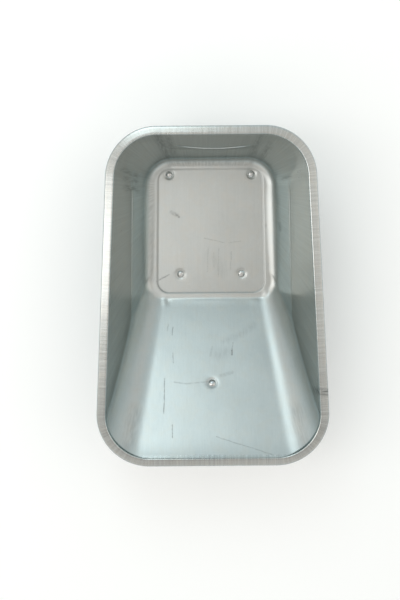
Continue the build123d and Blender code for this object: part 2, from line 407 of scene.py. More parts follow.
def panel_distance(x, y):
    return outline_distance(
        np.abs(x), y,
        PANEL_HALF_WIDTH, PANEL_TAPER,
        PANEL_HALF_LENGTH, -PANEL_HALF_LENGTH,
        PANEL_CORNER_RADIUS, PANEL_CORNER_RADIUS,
    )


def panel_height(x, y):
    """Shoulder, rounded step, recessed panel and its four dimples."""
    inward = np.clip((STEP_WIDTH / 2 - panel_distance(x, y)) / STEP_WIDTH, 0, 1)
    height = SHOULDER_LEVEL - PANEL_RECESS * inward**STEP_ROUNDNESS
    seat = SHOULDER_LEVEL - PANEL_RECESS - DIMPLE_DEPTH
    for bolt_x, bolt_y in (REAR_BOLTS, FRONT_BOLTS):
        radius = np.hypot(np.abs(x) - bolt_x, y - bolt_y)
        dimple = seat + dimple_height(radius, DIMPLE_WIDENING)
        height = -smooth_max(-height, -dimple, DIMPLE_BEND)
    return height


def outline_points(half_width, taper, rear, front, rear_radius, front_radius):
    """Points round an outline from the middle of its rear edge, and their outward directions."""
    slant = hypot(1, taper)
    tilt = atan2(taper, 1)
    corners = []
    for end, toward, radius in ((rear, 1, rear_radius), (front, -1, front_radius)):
        centre_y = end - toward * radius
        corners.append((half_width - taper * centre_y - radius * slant, centre_y, radius))
    (rear_x, rear_y, _), (front_x, front_y, _) = corners
    angle_steps = [
        (pi / 2, pi / 2), (pi / 2, tilt), (tilt, tilt), (tilt, -pi / 2), (-pi / 2, -pi / 2)
    ]
    starts = [(0, rear), None, (rear_x, rear_y), None, (front_x, front)]
    ends = [(rear_x, rear), None, (front_x, front_y), None, (0, front)]
    points, directions = [], []
    for k, count in enumerate(DIVISIONS):
        share = np.arange(count) / count
        angle = angle_steps[k][0] + (angle_steps[k][1] - angle_steps[k][0]) * share
        out = np.stack([np.cos(angle), np.sin(angle)], axis=1)
        if k in (1, 3):
            centre_x, centre_y, radius = corners[k // 2]
            place = np.array([centre_x, centre_y]) + radius * out
        else:
            first, last = np.array(starts[k], float), np.array(ends[k], float)
            if k == 2:
                first = first + rear_radius * out[0]
                last = last + front_radius * out[0]
            place = first + (last - first) * share[:, None]
        points.append(place)
        directions.append(out)
    half = np.concatenate(points + [np.array([[0.0, front]])])
    half_out = np.concatenate(directions + [np.array([[0.0, -1.0]])])
    mirror = np.array([-1.0, 1.0])
    whole = np.concatenate([half, half[-2:0:-1] * mirror])
    whole_out = np.concatenate([half_out, half_out[-2:0:-1] * mirror])
    return whole, whole_out


def wall_rows():
    """Rows of points from the rim's bend down the walls to the shoulder round the panel."""
    mouth, out = outline_points(
        MOUTH_HALF_WIDTH, MOUTH_TAPER, MOUTH_REAR, MOUTH_FRONT, MOUTH_REAR_RADIUS, MOUTH_FRONT_RADIUS
    )
    margin = STEP_WIDTH / 2 + 1
    foot, _ = outline_points(
        PANEL_HALF_WIDTH + margin, PANEL_TAPER,
        PANEL_HALF_LENGTH + margin, -PANEL_HALF_LENGTH - margin,
        PANEL_CORNER_RADIUS + margin, PANEL_CORNER_RADIUS + margin,
    )
    probe = 10.0
    lean = steep_walls(mouth[:, 0], mouth[:, 1], np.full(len(mouth), RIM_LEVEL - probe)) / probe
    tilt = np.arctan(lean)
    turn = pi / 2 - tilt + FLANGE_SLOPE
    tangent = RIM_BEND_RADIUS * np.tan(turn / 2)
    gap = 0.02
    top = mouth - out * (tangent * np.sin(tilt) + gap)[:, None]

    samples, crowding = 460, 1.6
    # more samples near the top, where the walls are steepest
    share = np.linspace(0, 1, samples)[None, :] ** crowding
    x = top[:, :1] + (foot[:, :1] - top[:, :1]) * share
    y = top[:, 1:] + (foot[:, 1:] - top[:, 1:]) * share
    z = wall_height(x.ravel(), y.ravel()).reshape(x.shape)
    step = np.stack([np.diff(x), np.diff(y), np.diff(z)])
    length = np.sqrt((step**2).sum(axis=0))
    along = step / length
    bend = np.arccos(np.clip((along[:, :, 1:] * along[:, :, :-1]).sum(axis=0), -1, 1))
    bend = np.concatenate([bend[:, :1], bend], axis=1)
    below, shown = past_crease(x[:, 1:].ravel(), y[:, 1:].ravel(), z[:, 1:].ravel())
    ledge = (np.exp(-(below / LEDGE_WIDTH) ** 2) * shown).reshape(length.shape)
    ledge_weight, bend_weight = 12.0, 80.0
    cost = length * (1 + ledge_weight * ledge) + bend_weight * bend
    travel = np.concatenate([np.zeros((len(x), 1)), np.cumsum(cost, axis=1)], axis=1)
    rows = np.linspace(0, 1, WALL_ROWS + 1)
    shares = np.stack([np.interp(rows * t[-1], t, share[0]) for t in travel])
    x = top[:, :1] + (foot[:, :1] - top[:, :1]) * shares
    y = top[:, 1:] + (foot[:, 1:] - top[:, 1:]) * shares
    z = wall_height(x.ravel(), y.ravel()).reshape(x.shape)
    return mouth, out, tilt, np.stack([x, y, z], axis=2)


def rim_rows(mouth, out, tilt):
    """Rows from the end of the curl over the flange and round the bend to the top of the walls."""
    turn = pi / 2 - tilt + FLANGE_SLOPE
    rows = []
    for psi in np.linspace(CURL_END, FLANGE_SLOPE, CURL_ROWS + 1):
        reach = CURL_OUT + CURL_RADIUS * sin(psi)
        level = CURL_LEVEL + CURL_RADIUS * cos(psi)
        rows.append((np.full(len(mouth), reach), np.full(len(mouth), level)))
    # bend, from its flange end to its wall end
    tangent = RIM_BEND_RADIUS * np.tan(turn / 2)
    centre_out = RIM_BEND_RADIUS * np.cos(tilt) - tangent * np.sin(tilt)
    centre_up = RIM_LEVEL - tangent * np.cos(tilt) - RIM_BEND_RADIUS * np.sin(tilt)
    bend = []
    for share in np.linspace(1, 0, BEND_ROWS + 1)[:-1]:
        angle = tilt + turn * share
        reach = centre_out - RIM_BEND_RADIUS * np.cos(angle)
        bend.append((reach, centre_up + RIM_BEND_RADIUS * np.sin(angle)))
    flange_start, flange_end = rows[-1], bend[0]
    for share in np.arange(1, FLANGE_ROWS + 1) / (FLANGE_ROWS + 1):
        rows.append(tuple(a + (b - a) * share for a, b in zip(flange_start, flange_end)))
    rows += bend
    points = []
    for reach, level in rows:
        place = mouth + out * reach[:, None]
        points.append(np.column_stack([place, level]))
    return np.stack(points, axis=1)


def ring_of(centre, radius, count):
    angle = np.arange(count) * 2 * pi / count
    return np.column_stack([centre[0] + radius * np.cos(angle), centre[1] + radius * np.sin(angle)])


def square_of(centre, width):
    half = width / 2
    corners = [(-half, -half), (half, -half), (half, half), (-half, half)]
    points = []
    for k, (x0, y0) in enumerate(corners):
        x1, y1 = corners[(k + 1) % 4]
        for s in range(HOLE_DIVISIONS):
            share = s / HOLE_DIVISIONS
            points.append((centre[0] + x0 + (x1 - x0) * share, centre[1] + y0 + (y1 - y0) * share))
    return np.array(points)


def filled(border, holes, inner):
    """Triangles that fill a border loop round some hole loops, using the inner points too."""
    loops = [border] + holes
    points = np.concatenate(loops + [inner])
    edges, start = [], 0
    for loop in loops:
        count = len(loop)
        edges += [(start + k, start + (k + 1) % count) for k in range(count)]
        start += count
    inside_only, merge_distance = 1, 1e-5
    out, _, faces, origin, _, _ = delaunay_2d_cdt(
        [Vector(p) for p in points], edges, [], inside_only, merge_distance
    )
    old = [o[0] if o else None for o in origin]
    kept = []
    for face in faces:
        middle = sum((out[k] for k in face), Vector((0, 0))) / len(face)
        in_hole = any(
            np.abs(hole - np.array(middle)).max() < 2 * SQUARE_HOLE
            and abs(middle.x - hole[:, 0].mean()) < SQUARE_HOLE / 2
            and abs(middle.y - hole[:, 1].mean()) < SQUARE_HOLE / 2
            for hole in holes
        )
        if not in_hole:
            kept.append(tuple(old[k] for k in face))
    return points, kept


def chained(faces_out):
    """The loop of vertices round a patch of removed quads."""
    edges = {}
    for face in faces_out:
        for a, b in zip(face, face[1:] + face[:1]):
            if (b, a) in edges:
                del edges[(b, a)]
            else:
                edges[(a, b)] = True
    following = dict(edges.keys())
    start = next(iter(following))
    loop = [start]
    while following[loop[-1]] != start:
        loop.append(following[loop[-1]])
    return loop


def dimple_rings(centre):
    radii = (7.5, 9.2, 10.2, 11.0, 11.8, 12.6, 13.4, 14.2, 15.0, 15.8, 17.0, 19.0)
    return np.concatenate([ring_of(centre, radius, DIMPLE_SIDES) for radius in radii])


def tray_faces():
    """Vertices and faces of the sheet's upper side, from the end of the curl to the floor."""
    mouth, out, tilt, walls = wall_rows()
    rim = rim_rows(mouth, out, tilt)
    grid = np.concatenate([rim, walls], axis=1)
    spokes, rows = grid.shape[:2]
    points = list(grid.reshape(-1, 3))
    quads = []
    for s in range(spokes):
        after = (s + 1) % spokes
        for r in range(rows - 1):
            quads.append((s * rows + r, s * rows + r + 1, after * rows + r + 1, after * rows + r))

    # nose dimple
    up = np.array([0, -cos(NOSE_SLOPE), sin(NOSE_SLOPE)])
    normal = np.array([0, sin(NOSE_SLOPE), cos(NOSE_SLOPE)])
    rise = (NOSE_FOOT - NOSE_BOLT_Y) * sin(NOSE_SLOPE) / cos(NOSE_SLOPE)
    centre = np.array([0, NOSE_BOLT_Y, SHOULDER_LEVEL + rise])
    flat = np.array(points)
    patch_radius = 27.0
    middles = flat[np.array(quads)].mean(axis=1)
    near = np.linalg.norm(middles - centre, axis=1) < patch_radius
    removed = [quad for quad, hit in zip(quads, near) if hit]
    quads = [quad for quad, hit in zip(quads, near) if not hit]
    loop = chained(removed)
    offsets = flat[loop] - centre
    border = np.column_stack([offsets[:, 0], offsets @ up])
    hole = square_of((0, 0), SQUARE_HOLE)
    local, triangles = filled(border, [hole], dimple_rings((0, 0)))
    radius = np.hypot(local[:, 0], local[:, 1])
    depth = -smooth_max(
        0.0 * radius,
        DIMPLE_DEPTH - dimple_height(radius, NOSE_DIMPLE_WIDENING),
        DIMPLE_BEND,
    )
    place = centre + local[:, :1] * np.array([[1.0, 0, 0]]) + local[:, 1:] * up + depth[:, None] * normal
    number = list(loop) + [len(points) + k for k in range(len(local) - len(loop))]
    points += list(place[len(loop):])
    faces = quads + oriented([tuple(number[k] for k in t) for t in triangles], points, normal)

    # floor panel
    loop = [s * rows + rows - 1 for s in range(spokes)]
    border = np.array(points)[loop][:, :2]
    holes, inner = [], []
    for bolt_x, bolt_y in (REAR_BOLTS, FRONT_BOLTS):
        for side in (-1, 1):
            holes.append(square_of((side * bolt_x, bolt_y), SQUARE_HOLE))
            inner.append(dimple_rings((side * bolt_x, bolt_y)))
    step_rows, past_step, lattice_edge = 12, 5.0, -12.0
    for inset in np.linspace(-STEP_WIDTH / 2, STEP_WIDTH / 2 + past_step, step_rows):
        loop_points, _ = outline_points(
            PANEL_HALF_WIDTH - inset, PANEL_TAPER,
            PANEL_HALF_LENGTH - inset, inset - PANEL_HALF_LENGTH,
            PANEL_CORNER_RADIUS - inset, PANEL_CORNER_RADIUS - inset,
        )
        inner.append(clear_of_bolts(loop_points))
    spacing = 11.0
    across = np.arange(-PANEL_HALF_WIDTH, PANEL_HALF_WIDTH, spacing)
    grid_x, grid_y = np.meshgrid(across, np.arange(-PANEL_HALF_LENGTH, PANEL_HALF_LENGTH, spacing))
    offset_x = grid_x + spacing / 2 * (np.arange(grid_x.shape[0]) % 2)[:, None]
    lattice = np.column_stack([offset_x.ravel(), grid_y.ravel()])
    lattice = lattice[panel_distance(lattice[:, 0], lattice[:, 1]) < lattice_edge]
    inner.append(clear_of_bolts(lattice))
    local, triangles = filled(border, holes, np.concatenate(inner))
    place = np.column_stack([local, panel_height(local[:, 0], local[:, 1])])
    number = list(loop) + [len(points) + k for k in range(len(local) - len(loop))]
    points += list(place[len(loop):])
    faces += oriented([tuple(number[k] for k in t) for t in triangles], points, np.array([0, 0, 1.0]))
    return np.array(points), faces, grid


def clear_of_bolts(points):
    clear = np.ones(len(points), bool)
    for bolt_x, bolt_y in (REAR_BOLTS, FRONT_BOLTS):
        clear &= np.hypot(np.abs(points[:, 0]) - bolt_x, points[:, 1] - bolt_y) > BOLT_CLEARANCE
    return points[clear]


def oriented(faces, points, up):
    """The faces, turned over where they face down."""
    turned = []
    for face in faces:
        a, b, c = (points[k] for k in face[:3])
        facing = np.cross(b - a, c - a) @ up
        turned.append(face if facing > 0 else face[::-1])
    return turned


def draw_coordinates(mesh, grid):
    """Stores how far each corner lies along the rim and down the sheet from it, in metres,
    and plain X and Y on the panel and round the nose bolt."""
    spokes, rows = grid.shape[:2]
    top = grid[:, rows - WALL_ROWS - 1]
    along = np.linalg.norm(np.roll(top, -1, axis=0) - top, axis=1)
    along = np.concatenate([[0], np.cumsum(along)]) * MM
    down = np.linalg.norm(np.diff(grid, axis=1), axis=2)
    down = np.concatenate([np.zeros((spokes, 1)), np.cumsum(down, axis=1)], axis=1) * MM
    layer = mesh.uv_layers.new(name="draw")
    corners = np.empty((len(mesh.loops), 2))
    vertex = np.empty(len(mesh.loops), int)
    mesh.loops.foreach_get("vertex_index", vertex)
    for face in mesh.polygons:
        loops = range(face.loop_start, face.loop_start + face.loop_total)
        if face.loop_total == 3:
            for k in loops:
                corners[k] = mesh.vertices[vertex[k]].co[:2]
            continue
        wraps = any(vertex[k] >= (spokes - 1) * rows for k in loops)
        for k in loops:
            spoke, row = divmod(vertex[k], rows)
            corners[k] = (along[-1] if wraps and spoke == 0 else along[spoke], down[spoke, row])
    layer.data.foreach_set("uv", corners.ravel())


def dullness_and_painted_shade(points):
    """How dull and dark the sheet is at each point, from 0 to 1: dull patches, with painted dark
    reflections and painted shade among them.
    """
    dull_and_shaded = np.zeros(len(points))
    for start, end, width, strength in DULL_AND_SHADED_PATCHES:
        start, end = np.array(start), np.array(end)
        run = end - start
        share = np.clip((points[:, :2] - start) @ run / (run @ run), 0, 1)
        away = np.linalg.norm(points[:, :2] - start - share[:, None] * run, axis=1) / width
        dull_and_shaded = np.maximum(dull_and_shaded, strength * np.exp(-2 * away**2))
    return dull_and_shaded


def panel_line_shade(points):
    """Painted shade in the groove at the foot of the step round the panel, stronger along the front and
    the sides, from 0 to 1.
    """
    x, y, z = points.T
    off_foot, half_width = 1.5, 2.6
    foot = (panel_distance(x, y) + STEP_WIDTH / 2 - off_foot) / half_width
    front = eased(y, -110, -170)
    sides = eased(np.abs(x), 60, 140)
    dark = 0.2 + 0.5 * np.maximum(front, 0.6 * sides)
    return dark * np.exp(-foot**2) * (z < SHOULDER_LEVEL + 2)


def dents(points):
    """Small knocks and press marks, as offsets along the sheet's normals."""
    x, y, z = points.T
    offset = np.zeros(len(points))
    for dent_x, dent_y, width, length, depth in DENTS:
        offset += depth * np.exp(-(((x - dent_x) / width) ** 2 + ((y - dent_y) / length) ** 2))
    return offset * fade(z, RIM_LEVEL - 14, RIM_LEVEL - 44)


def waviness(points):
    """Slow buckles left in the sheet by pressing it, as offsets along its normals."""
    x, y, z = points.T
    slow = np.sin(x / 41 + 1.3 * np.sin(y / 67)) * np.sin(y / 53 + 0.7 * np.sin(z / 39 + x / 90))
    mid = np.sin(x / 19 + y / 31 + 2.1 * np.sin(z / 23)) * np.sin(y / 17 - x / 29 + 0.6)
    depth = fade(z, SHOULDER_LEVEL, SHOULDER_LEVEL + 60)
    return (0.16 * slow + 0.05 * mid) * (0.35 + 0.65 * depth)


def make_tray():
    points, faces, grid = tray_faces()
    mesh = bpy.data.meshes.new("tray_sheet")
    mesh.from_pydata([tuple(p * MM) for p in points], [], faces)
    mesh.validate()
    draw_coordinates(mesh, grid)
    # dull patches, with painted dark reflections and painted shade among them
    mesh.attributes.new("patch_dull_and_shade", "FLOAT", "POINT").data.foreach_set("value", dullness_and_painted_shade(points))
    # painted shade in the foot of the panel's step
    mesh.attributes.new("panel_line_shade", "FLOAT", "POINT").data.foreach_set("value", panel_line_shade(points))
    normals = np.empty(3 * len(mesh.vertices))
    mesh.vertex_normals.foreach_get("vector", normals)
    below_rim = fade(points[:, 2], RIM_LEVEL - 12, RIM_LEVEL - 37)
    off_bolts = np.ones(len(points))
    for bolt_x, bolt_y in (REAR_BOLTS, FRONT_BOLTS, (0.0, NOSE_BOLT_Y)):
        reach = np.hypot(np.abs(points[:, 0]) - bolt_x, points[:, 1] - bolt_y)
        off_bolts = np.minimum(off_bolts, fade(reach, BOLT_CLEARANCE, BOLT_CLEARANCE + 30))
    offset = (waviness(points) * below_rim + dents(points)) * off_bolts + crease_ledge(*points.T)
    moved = points * MM + normals.reshape(-1, 3) * offset[:, None] * MM
    mesh.vertices.foreach_set("co", moved.ravel())
    tray = bpy.data.objects.new("tray_sheet", mesh)
    bpy.context.scene.collection.objects.link(tray)
    thick = tray.modifiers.new("sheet", "SOLIDIFY")
    thick.thickness = SHEET * MM
    thick.offset = -1
    thick.use_even_offset = True
    bake_modifiers(tray)
    tray.data.polygons.foreach_set("use_smooth", [True] * len(tray.data.polygons))
    tray.data.set_sharp_from_angle(angle=SHARP_ANGLE)
    return tray


def bake_modifiers(piece):
    """The piece keeps the mesh that its modifiers make."""
    depsgraph = bpy.context.evaluated_depsgraph_get()
    mesh = bpy.data.meshes.new_from_object(piece.evaluated_get(depsgraph))
    piece.modifiers.clear()
    piece.data = mesh


# ---------------------------------------------------------------- materials
def new_material(name):
    material = bpy.data.materials.new(name)
    material.use_nodes = True
    return material, material.node_tree.nodes["Principled BSDF"]


class Graph:
    """Short calls that add nodes to one material and link them."""

    def __init__(self, owner):
        self.nodes = owner.node_tree.nodes
        self.links = owner.node_tree.links

    def add(self, kind, **settings):
        node = self.nodes.new(kind)
        for name, value in settings.items():
            setattr(node, name, value)
        return node

    def feed(self, socket, value):
        if isinstance(value, bpy.types.NodeSocket):
            self.links.new(value, socket)
        else:
            socket.default_value = value

    def math(self, operation, first, second=0.0, third=0.0, clamp=False):
        node = self.add("ShaderNodeMath", operation=operation, use_clamp=clamp)
        for socket, value in zip(node.inputs, (first, second, third)):
            self.feed(socket, value)
        return node.outputs[0]

    def vector(self, operation, first, second=(0, 0, 0)):
        node = self.add("ShaderNodeVectorMath", operation=operation)
        self.feed(node.inputs[0], first)
        self.feed(node.inputs[1], second)
        return node.outputs["Value" if operation in ("DOT_PRODUCT", "LENGTH") else "Vector"]

    def scaled(self, vector, scale):
        node = self.add("ShaderNodeMapping")
        self.feed(node.inputs["Vector"], vector)
        node.inputs["Scale"].default_value = scale
        return node.outputs["Vector"]

    def noise(self, vector, scale, detail=3.0, roughness=0.5, distortion=0.0):
        node = self.add("ShaderNodeTexNoise")
        self.feed(node.inputs["Vector"], vector)
        node.inputs["Scale"].default_value = scale
        node.inputs["Detail"].default_value = detail
        node.inputs["Roughness"].default_value = roughness
        node.inputs["Distortion"].default_value = distortion
        return node.outputs["Fac"]

    def ramp(self, value, start, end, low=0.0, high=1.0, smooth=True):
        node = self.add("ShaderNodeMapRange")
        if smooth:
            node.interpolation_type = "SMOOTHSTEP"
        self.feed(node.inputs["Value"], value)
        node.inputs["From Min"].default_value = start
        node.inputs["From Max"].default_value = end
        node.inputs["To Min"].default_value = low
        node.inputs["To Max"].default_value = high
        return node.outputs["Result"]

    def mix(self, factor, first, second):
        node = self.add("ShaderNodeMix", data_type="RGBA")
        self.feed(node.inputs["Factor"], factor)
        self.feed(node.inputs["A"], first)
        self.feed(node.inputs["B"], second)
        return node.outputs["Result"]

    def stroke(self, place, start, end, width):
        """One soft line between two points of the plan, as a mask."""
        start, end = Vector((*start, 0)) * MM, Vector((*end, 0)) * MM
        length = (end - start).length
        direction = (end - start) / length
        offset = self.vector("SUBTRACT", place, tuple(start))
        along = self.vector("DOT_PRODUCT", offset, tuple(direction))
        along = self.math("DIVIDE", along, length, clamp=True)
        nearest = self.add("ShaderNodeVectorMath", operation="SCALE")
        nearest.inputs[0].default_value = tuple(direction * length)
        self.feed(nearest.inputs["Scale"], along)
        away = self.vector("LENGTH", self.vector("SUBTRACT", offset, nearest.outputs["Vector"]))
        return self.ramp(away, width * MM, 0.3 * width * MM)


def zinc_sheet():
    """Hot-dip zinc on pressed sheet: streaks from the press down the walls and across the rim,
    faint crystals, stains and scratches, with painted light: a tint by the walls' slope,
    painted shade in the foot of the panel's step, and painted dark reflections and shade in some patches."""
    material, shader = new_material("galvanised_sheet")
    graph = Graph(material)
    place = graph.add("ShaderNodeTexCoord").outputs["Object"]
    draw = graph.add("ShaderNodeUVMap", uv_map="draw").outputs["UV"]
    geometry = graph.add("ShaderNodeNewGeometry")
    split_normal = graph.add("ShaderNodeSeparateXYZ")
    graph.feed(split_normal.inputs[0], geometry.outputs["Normal"])
    facing_up = split_normal.outputs["Z"]
    split_place = graph.add("ShaderNodeSeparateXYZ")
    graph.feed(split_place.inputs[0], place)
    height = split_place.outputs["Z"]
    steep = graph.ramp(graph.math("ABSOLUTE", facing_up), 0.85, 0.35)
    rim = graph.ramp(height, (RIM_LEVEL - 9) * MM, (RIM_LEVEL - 3) * MM)
    worked = graph.math("MAXIMUM", steep, rim)

    # streaks square to the rim, fine and coarse
    fine = graph.noise(graph.scaled(draw, (430, 6, 1)), 1.0, 2.0)
    coarse = graph.noise(graph.scaled(draw, (150, 5, 1)), 1.0, 3.0)
    streaks = graph.math("SUBTRACT", graph.math("ADD", fine, coarse), 1.0)
    streaks = graph.math("MULTIPLY", streaks, worked)
    # the panel and the nose keep faint lines from the rolling mill
    mill = graph.noise(graph.scaled(place, (420, 6, 40)), 1.0, 2.0)
    mill = graph.math("MULTIPLY", graph.math("SUBTRACT", mill, 0.5), graph.math("SUBTRACT", 1.0, worked))

    clouds = graph.noise(place, 9.0, 4.0, 0.55, 0.3)
    blotches = graph.noise(place, 31.0, 5.0, 0.62, 0.6)
    crystals = graph.add("ShaderNodeTexVoronoi")
    graph.feed(crystals.inputs["Vector"], place)
    crystals.inputs["Scale"].default_value = 120.0
    crystal = graph.vector("DOT_PRODUCT", crystals.outputs["Color"], (0.33, 0.33, 0.34))
    crystal = graph.math("SUBTRACT", crystal, 0.5)

    # scratches, stains and dull patches, with painted shade and painted dark reflections among them
    wander = graph.add("ShaderNodeTexNoise")
    graph.feed(wander.inputs["Vector"], place)
    wander.inputs["Scale"].default_value = 40.0
    wander.inputs["Detail"].default_value = 3.0
    shift = graph.vector("SUBTRACT", wander.outputs["Color"], (0.5, 0.5, 0.5))
    shift = graph.vector("MULTIPLY", shift, (0.005, 0.005, 0))
    flat_place = graph.vector("MULTIPLY", place, (1, 1, 0))
    flat_place = graph.vector("ADD", flat_place, shift)
    scratches = 0.0
    for start, end, width, strength in SCRATCHES:
        mark = graph.math("MULTIPLY", graph.stroke(flat_place, start, end, width), strength)
        scratches = graph.math("MAXIMUM", scratches, mark)
    # dull patches, with painted dark reflections and painted shade among them
    dull_and_shaded = graph.add("ShaderNodeAttribute", attribute_name="patch_dull_and_shade").outputs["Fac"]
    broken = graph.ramp(graph.noise(place, 160.0, 3.0), 0.38, 0.58, 0.45, 1.0)
    patchy = graph.ramp(graph.noise(graph.scaled(draw, (170, 30, 1)), 1.0, 4.0), 0.36, 0.62, 0.25, 1.0)
    scratches = graph.math("MULTIPLY", scratches, broken)
    marks_and_shade = graph.math("MAXIMUM", scratches, graph.math("MULTIPLY", dull_and_shaded, patchy))
    # painted shade in the groove at the foot of the panel's step
    step_painted_shade = graph.add("ShaderNodeAttribute", attribute_name="panel_line_shade").outputs["Fac"]
    marks_and_shade = graph.math("MAXIMUM", marks_and_shade, step_painted_shade)
    inside = graph.ramp(facing_up, 0.03, 0.12)
    marks_and_shade = graph.math("MULTIPLY", marks_and_shade, inside)
    hairs = graph.noise(graph.scaled(place, (60, 900, 60)), 1.0, 2.0, 0.6, 1.5)
    hairs = graph.ramp(hairs, 0.70, 0.76, 0.0, 0.22)
    marks_and_shade = graph.math("MAXIMUM", marks_and_shade, graph.math("MULTIPLY", hairs, graph.ramp(clouds, 0.5, 0.62)))

    tone = graph.math("MULTIPLY_ADD", streaks, graph.math("MULTIPLY_ADD", rim, 0.06, 0.34), 1.0)
    tone = graph.math("MULTIPLY_ADD", mill, 0.10, tone)
    tone = graph.math("MULTIPLY_ADD", graph.math("SUBTRACT", clouds, 0.5), 0.16, tone)
    tone = graph.math("MULTIPLY_ADD", graph.math("SUBTRACT", blotches, 0.5), 0.12, tone)
    tone = graph.math("MULTIPLY_ADD", crystal, 0.035, tone)
    tone = graph.math("MULTIPLY", tone, graph.math("MULTIPLY_ADD", marks_and_shade, -0.55, 1.0))
    green_grey, warm_grey = (0.455, 0.472, 0.464, 1), (0.452, 0.458, 0.440, 1)
    colour = graph.mix(graph.ramp(blotches, 0.42, 0.66), green_grey, warm_grey)
    # Painted light: the leaning lower walls get a paler, bluer zinc and the steep walls a slightly
    # darker, greener one, chosen by their slope to stand in for how the light falls on them.
    leaning_painted_light = graph.ramp(facing_up, 0.26, 0.36)
    leaning_painted_light = graph.math("MULTIPLY", leaning_painted_light, graph.ramp(facing_up, 0.62, 0.48))
    colour = graph.vector("MULTIPLY", colour, graph.mix(steep, (1, 1, 1, 1), (0.955, 1.0, 0.985, 1)))
    colour = graph.vector("MULTIPLY", colour, graph.mix(leaning_painted_light, (1, 1, 1, 1), (1.07, 1.14, 1.19, 1)))
    bright = graph.add("ShaderNodeVectorMath", operation="SCALE")
    graph.feed(bright.inputs[0], colour)
    graph.feed(bright.inputs["Scale"], tone)
    graph.feed(shader.inputs["Base Color"], bright.outputs["Vector"])
    shader.inputs["Metallic"].default_value = 1.0

    gloss = graph.math("MULTIPLY_ADD", graph.math("SUBTRACT", clouds, 0.5), 0.12, 0.335)
    gloss = graph.math("MULTIPLY_ADD", streaks, 0.12, gloss)
    gloss = graph.math("MULTIPLY_ADD", crystal, 0.03, gloss)
    gloss = graph.math("MULTIPLY_ADD", marks_and_shade, 0.2, gloss)
    gloss = graph.math("MULTIPLY_ADD", rim, -0.12, gloss)
    graph.feed(shader.inputs["Roughness"], gloss)

    relief = graph.math("MULTIPLY", streaks, graph.math("MULTIPLY_ADD", rim, -0.43, 0.5))
    relief = graph.math("MULTIPLY_ADD", mill, 0.2, relief)
    relief = graph.math("MULTIPLY_ADD", blotches, 0.9, relief)
    relief = graph.math("MULTIPLY_ADD", marks_and_shade, -0.5, relief)
    bump = graph.add("ShaderNodeBump")
    bump.inputs["Strength"].default_value = 0.35
    bump.inputs["Distance"].default_value = 0.0004
    graph.feed(bump.inputs["Height"], relief)
    graph.feed(shader.inputs["Normal"], bump.outputs["Normal"])
    return material


def plated(name, colour, roughness, mottle):
    """Zinc plate or bare steel: cloudy, a little dull in patches, and faintly pitted."""
    material, shader = new_material(name)
    graph = Graph(material)
    place = graph.add("ShaderNodeTexCoord").outputs["Object"]
    clouds = graph.math("SUBTRACT", graph.noise(place, 240.0, 4.0, 0.6), 0.5)
    grain = graph.noise(place, 1900.0, 2.0)
    shade = graph.math("MULTIPLY_ADD", clouds, mottle, 1.0)
    shade = graph.math("MULTIPLY_ADD", graph.math("SUBTRACT", grain, 0.5), 0.12, shade)
    red, green, blue = colour
    warmer = (red * 1.04, green, blue * 0.93, 1)
    tinted = graph.mix(graph.ramp(clouds, -0.05, 0.12), (*colour, 1), warmer)
    bright = graph.add("ShaderNodeVectorMath", operation="SCALE")
    graph.feed(bright.inputs[0], tinted)
    graph.feed(bright.inputs["Scale"], shade)
    graph.feed(shader.inputs["Base Color"], bright.outputs["Vector"])
    shader.inputs["Metallic"].default_value = 1.0
    graph.feed(shader.inputs["Roughness"], graph.math("MULTIPLY_ADD", clouds, 0.3, roughness))
    bump = graph.add("ShaderNodeBump")
    bump.inputs["Strength"].default_value = 0.3
    bump.inputs["Distance"].default_value = 0.00008
    graph.feed(bump.inputs["Height"], grain)
    graph.feed(shader.inputs["Normal"], bump.outputs["Normal"])
    return material


# ---------------------------------------------------------------- bolts
def bolt_rings():
    """Radius of the bolt at each of its angles, and the level over the head's underside, ring by ring."""
    angle = np.arange(BOLT_SIDES) * 2 * pi / BOLT_SIDES
    round_ring = np.ones(BOLT_SIDES)
    rise = HEAD_HEIGHT - HEAD_EDGE
    crown = (HEAD_RADIUS**2 + rise**2) / (2 * rise)
    rings = []
    first_share = 0.04
    for share in np.linspace(first_share, 1, HEAD_RINGS):
        radius = HEAD_RADIUS * sin(share * pi / 2)
        level = HEAD_EDGE + rise - crown + (crown**2 - radius**2) ** 0.5
        hollow = HEAD_MARK * np.exp(-((radius / HEAD_MARK_RADIUS) ** 2))
        rings.append((radius * round_ring, level - hollow))
    rings.append((HEAD_RADIUS * round_ring, SMALL_EDGE))
    rings.append(((HEAD_RADIUS - SMALL_EDGE) * round_ring, 0.0))
    square = NECK_WIDTH / 2 / np.maximum(np.abs(np.cos(angle)), np.abs(np.sin(angle)))
    square = np.minimum(square, NECK_CORNER * NECK_WIDTH)
    neck_taper = 0.3
    for level in (0.0, -NECK_LENGTH + neck_taper):
        rings.append((square, level))
    for level in (-NECK_LENGTH, -THREAD_START + THREAD_PITCH):
        rings.append((THREAD_RADIUS * round_ring, level))
    for level in np.arange(-THREAD_START, -BOLT_LENGTH + SMALL_EDGE, -THREAD_PITCH / THREAD_STEPS):
        turn = np.mod(level / THREAD_PITCH + angle / (2 * pi), 1)
        # a zigzag whose tips are cut off
        flank = (1.6 * np.abs(turn - 0.5) * 2 - 0.8).clip(-0.6, 0.6)
        runout = np.clip((-THREAD_START - level) / THREAD_PITCH, 0, 1)
        radius = THREAD_RADIUS + THREAD_DEPTH * flank * runout
        rings.append((np.minimum(radius, THREAD_RADIUS - THREAD_DEPTH + level + BOLT_LENGTH), level))
    end_share = 0.98
    rings.append(((THREAD_RADIUS - THREAD_DEPTH) * end_share * round_ring, -BOLT_LENGTH))
    return angle, rings


